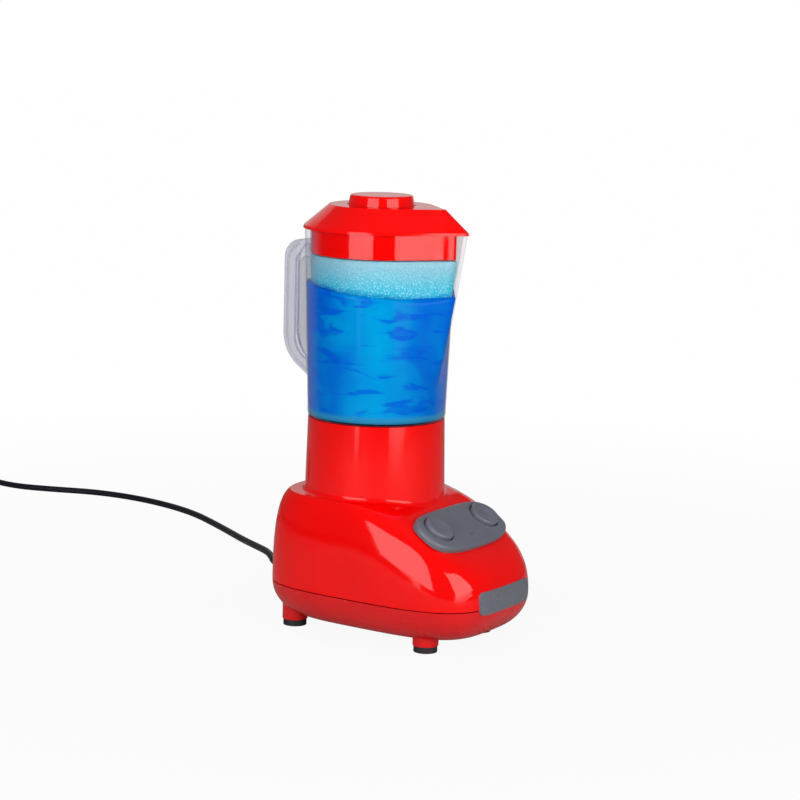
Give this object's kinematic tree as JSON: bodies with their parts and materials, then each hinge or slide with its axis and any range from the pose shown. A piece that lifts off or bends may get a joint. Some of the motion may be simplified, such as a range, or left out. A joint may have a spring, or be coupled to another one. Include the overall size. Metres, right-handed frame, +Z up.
{
  "type": "toy blender",
  "caption": "Toy blender with a clear lipped jug and handle, lid with filler cap, push buttons on a sloped nose, spinning blade and a low-voltage lead.",
  "frame": {"origin": "on the table under the middle of the body's outline, cord left out", "axes": "+Z up, front with the buttons towards -Y, jug handle towards +Y"},
  "size_m": [0.1401, 0.3751, 0.154],
  "materials": {
    "red_shell": "gloss",
    "red_lower": "satin",
    "grey_plastic": "satin",
    "clear_plastic": "clear gloss",
    "black_rubber": "matte",
    "cord_black": "satin",
    "steel": "satin",
    "motor_steel": "satin",
    "black_plastic": "matte",
    "white_plastic": "satin",
    "board_green": "satin",
    "magnet": "matte",
    "lead_red": "satin"
  },
  "bodies": {
    "base": {"base_upper_shell": "red_shell", "base_lower_shell": "red_lower", "badge_plate": "grey_plastic", "button_panel": "grey_plastic", "foot_pads": "black_rubber", "shell_screws": "steel", "small_screws": "steel", "cord_clamp": "black_plastic", "cord_grommet": "cord_black", "cord_inner": "cord_black", "cord_tube": "cord_black", "cord_coil": "cord_black", "plug_body": "black_plastic", "plug_shell": "motor_steel", "plug_tongue": "white_plastic", "supply_lead": "cord_black", "motor_lead": "lead_red", "circuit_board": "board_green", "switch_body_left": "black_plastic", "switch_body_right": "black_plastic", "button_spring_left": "steel", "button_spring_right": "steel", "motor_can": "motor_steel", "motor_end_cap": "black_plastic", "motor_magnets": "magnet"},
    "drive": {"rotor_core": "steel", "motor_shaft": "steel", "drive_coupling": "black_plastic"},
    "jug": {"jug": "clear_plastic", "jug_handle": "clear_plastic", "shaft_bush": "white_plastic", "seal_ring": "black_rubber"},
    "blades": {"driven_coupling": "black_plastic", "blade_shaft": "steel", "blade": "white_plastic", "blade_nut": "white_plastic"},
    "lid": {"lid": "red_shell"},
    "cap": {"filler_cap": "red_shell"},
    "button_left": {"button_left": "grey_plastic"},
    "button_right": {"button_right": "grey_plastic"},
    "plunger_left": {"switch_plunger_left": "white_plastic"},
    "plunger_right": {"switch_plunger_right": "white_plastic"}
  },
  "joints": [
    {"name": "jug_lift", "type": "slide", "parent": "base", "child": "jug", "axis": [0, 0, 1], "range_m": [0, 0.05]},
    {"name": "lid_lift", "type": "slide", "parent": "jug", "child": "lid", "axis": [0, 0, 1], "range_m": [0, 0.03]},
    {"name": "cap_lift", "type": "slide", "parent": "lid", "child": "cap", "axis": [0, 0, 1], "range_m": [0, 0.02]},
    {"name": "drive_spin", "type": "hinge", "parent": "base", "child": "drive", "pos_m": [0, 0.00875, 0.06], "axis": [0, 0, 1], "continuous": true},
    {"name": "blade_spin", "type": "hinge", "parent": "jug", "child": "blades", "pos_m": [0, 0.00875, 0.08], "axis": [0, 0, 1], "continuous": true},
    {"name": "button_left_press", "type": "slide", "parent": "base", "child": "button_left", "axis": [0, 0.5446, -0.8387], "range_m": [0, 0.002], "stiffness_N_per_m": 400, "deforming": ["button_spring_left"]},
    {"name": "plunger_left_press", "type": "slide", "parent": "base", "child": "plunger_left", "axis": [0, 0.5446, -0.8387], "range_m": [0, 0.002]},
    {"name": "button_right_press", "type": "slide", "parent": "base", "child": "button_right", "axis": [0, 0.5446, -0.8387], "range_m": [0, 0.002], "stiffness_N_per_m": 400, "deforming": ["button_spring_right"]},
    {"name": "plunger_right_press", "type": "slide", "parent": "base", "child": "plunger_right", "axis": [0, 0.5446, -0.8387], "range_m": [0, 0.002]}
  ],
  "couplings": [
    {"joint": "blade_spin", "follows": "drive_spin", "ratio": 1},
    {"joint": "plunger_left_press", "follows": "button_left_press", "ratio": 1},
    {"joint": "plunger_right_press", "follows": "button_right_press", "ratio": 1}
  ]
}
